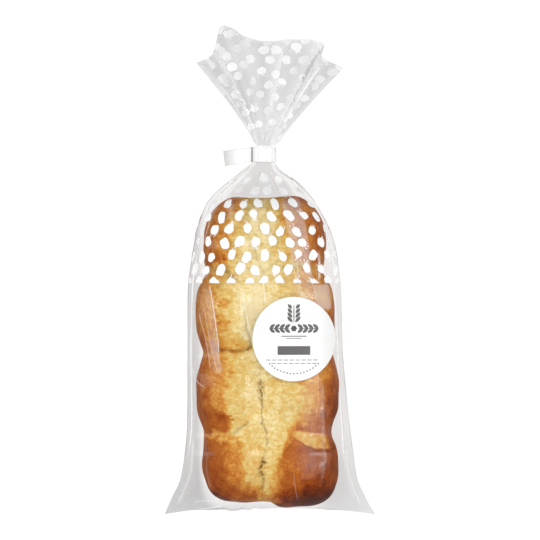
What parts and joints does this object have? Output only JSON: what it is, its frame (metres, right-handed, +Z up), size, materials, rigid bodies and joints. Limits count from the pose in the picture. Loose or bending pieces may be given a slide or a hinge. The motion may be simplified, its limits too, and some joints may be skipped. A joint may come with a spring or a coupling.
{
  "type": "brioche loaf in a clear bag",
  "caption": "Long brioche loaf of paired dough balls in a clear film bag, sealed flat at one end, gathered by a band at the other, with a round label.",
  "frame": {"origin": "on the resting plane, under the middle of the pack's bounding box", "axes": "+X across the pack, +Y along it towards the gathered mouth, +Z up through the loaf's crown"},
  "size_m": [0.1696, 0.3915, 0.0826],
  "materials": {
    "bag": "clear film over a golden crust",
    "film": "thin clear polypropylene film, glossy, wrinkled",
    "print": "opaque white ink",
    "crust": "egg-washed baked crust, golden to dark brown, pale where it tore",
    "band": "smooth white coated tape",
    "label": "satin coated paper"
  },
  "bodies": {
    "root": {"bag": "bag", "band": "band", "label": "label"}
  },
  "joints": []
}
